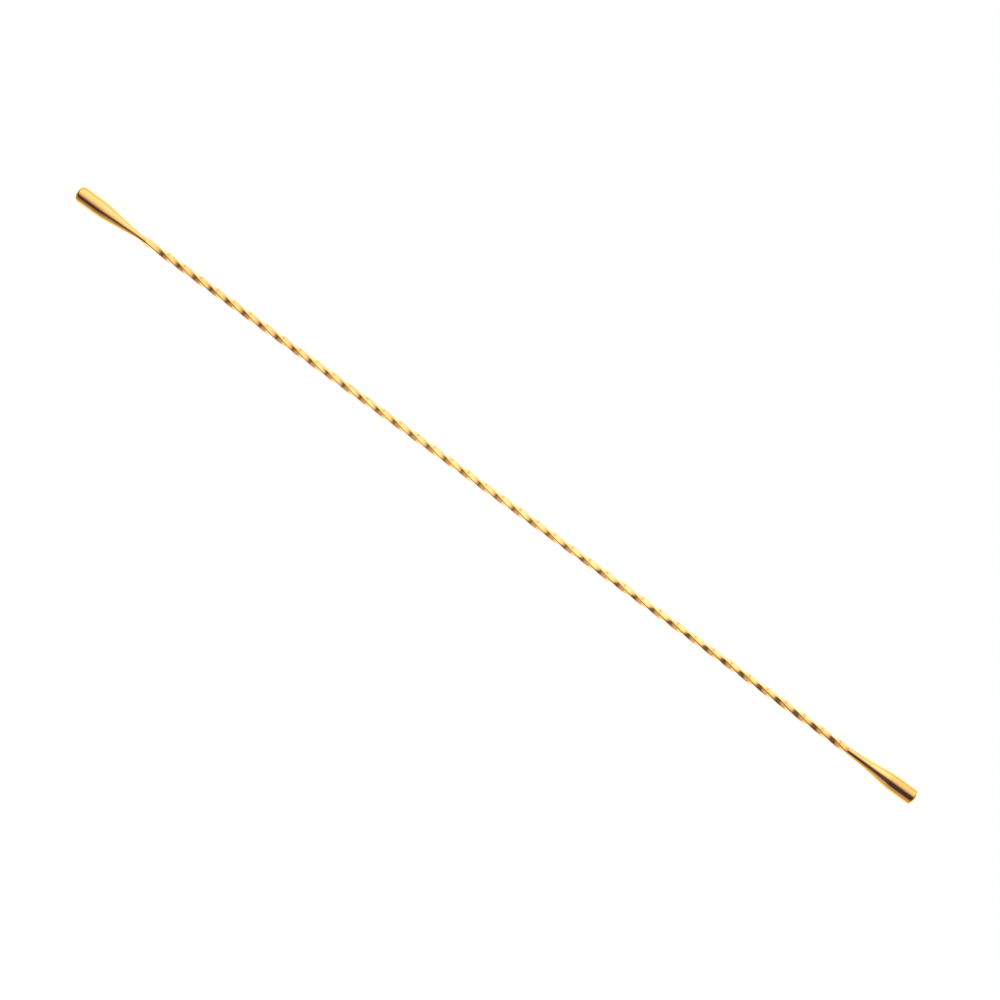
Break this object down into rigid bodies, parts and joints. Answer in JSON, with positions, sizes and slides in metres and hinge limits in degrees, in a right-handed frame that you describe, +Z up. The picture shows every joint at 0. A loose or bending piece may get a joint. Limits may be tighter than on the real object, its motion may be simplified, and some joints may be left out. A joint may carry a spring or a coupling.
{
  "type": "double-ended bar stirrer",
  "caption": "Long slim bar stirrer with a spirally twisted square stem and a weighted teardrop head at each end, gold-plated and polished.",
  "frame": {"origin": "on the surface that both heads lie on, under the middle of the overall length", "axes": "+X along the stem from the left head to the right head, +Z up"},
  "size_m": [0.4, 0.007, 0.007],
  "materials": {
    "gold_plate": "polished",
    "braze_metal": "satin"
  },
  "bodies": {
    "root": {"twisted_stem": "gold_plate", "left_head": "gold_plate", "right_head": "gold_plate", "left_braze_joint": "braze_metal", "right_braze_joint": "braze_metal"}
  },
  "joints": []
}
